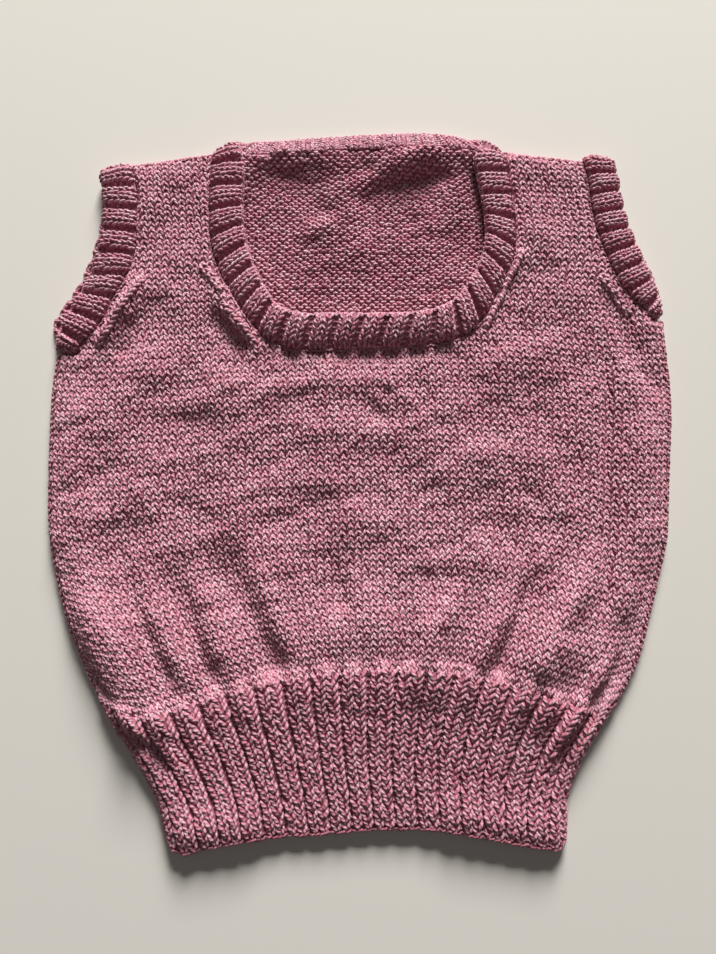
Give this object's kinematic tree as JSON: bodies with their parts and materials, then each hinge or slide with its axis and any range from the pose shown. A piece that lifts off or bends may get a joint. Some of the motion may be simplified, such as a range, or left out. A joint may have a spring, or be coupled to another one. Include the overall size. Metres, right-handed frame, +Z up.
{
  "type": "knitted sweater vest, laid flat",
  "caption": "Child's sleeveless pull-on vest in marled yarn, laid flat: stocking-stitch body gathered into a deep rib welt, with a scooped neck and rib bands.",
  "frame": {"origin": "centre of the lying garment's length and width, on the surface that it lies on", "axes": "+Z up from the surface, through the front panel; +Y from the hem towards the neck; +X towards the right of the front as it is seen"},
  "size_m": [0.3753, 0.4318, 0.0131],
  "materials": {
    "stocking_stitch": "soft marled wool-blend yarn in dusty rose, knitted in stocking stitch, matt with a faint halo",
    "rib": "the same marled yarn in two-by-two rib, darker in the purl valleys"
  },
  "bodies": {
    "root": {"front": "stocking_stitch", "back": "stocking_stitch", "front_welt": "rib", "back_welt": "rib", "neckband": "rib", "armband_left": "rib", "armband_right": "rib"}
  },
  "joints": []
}
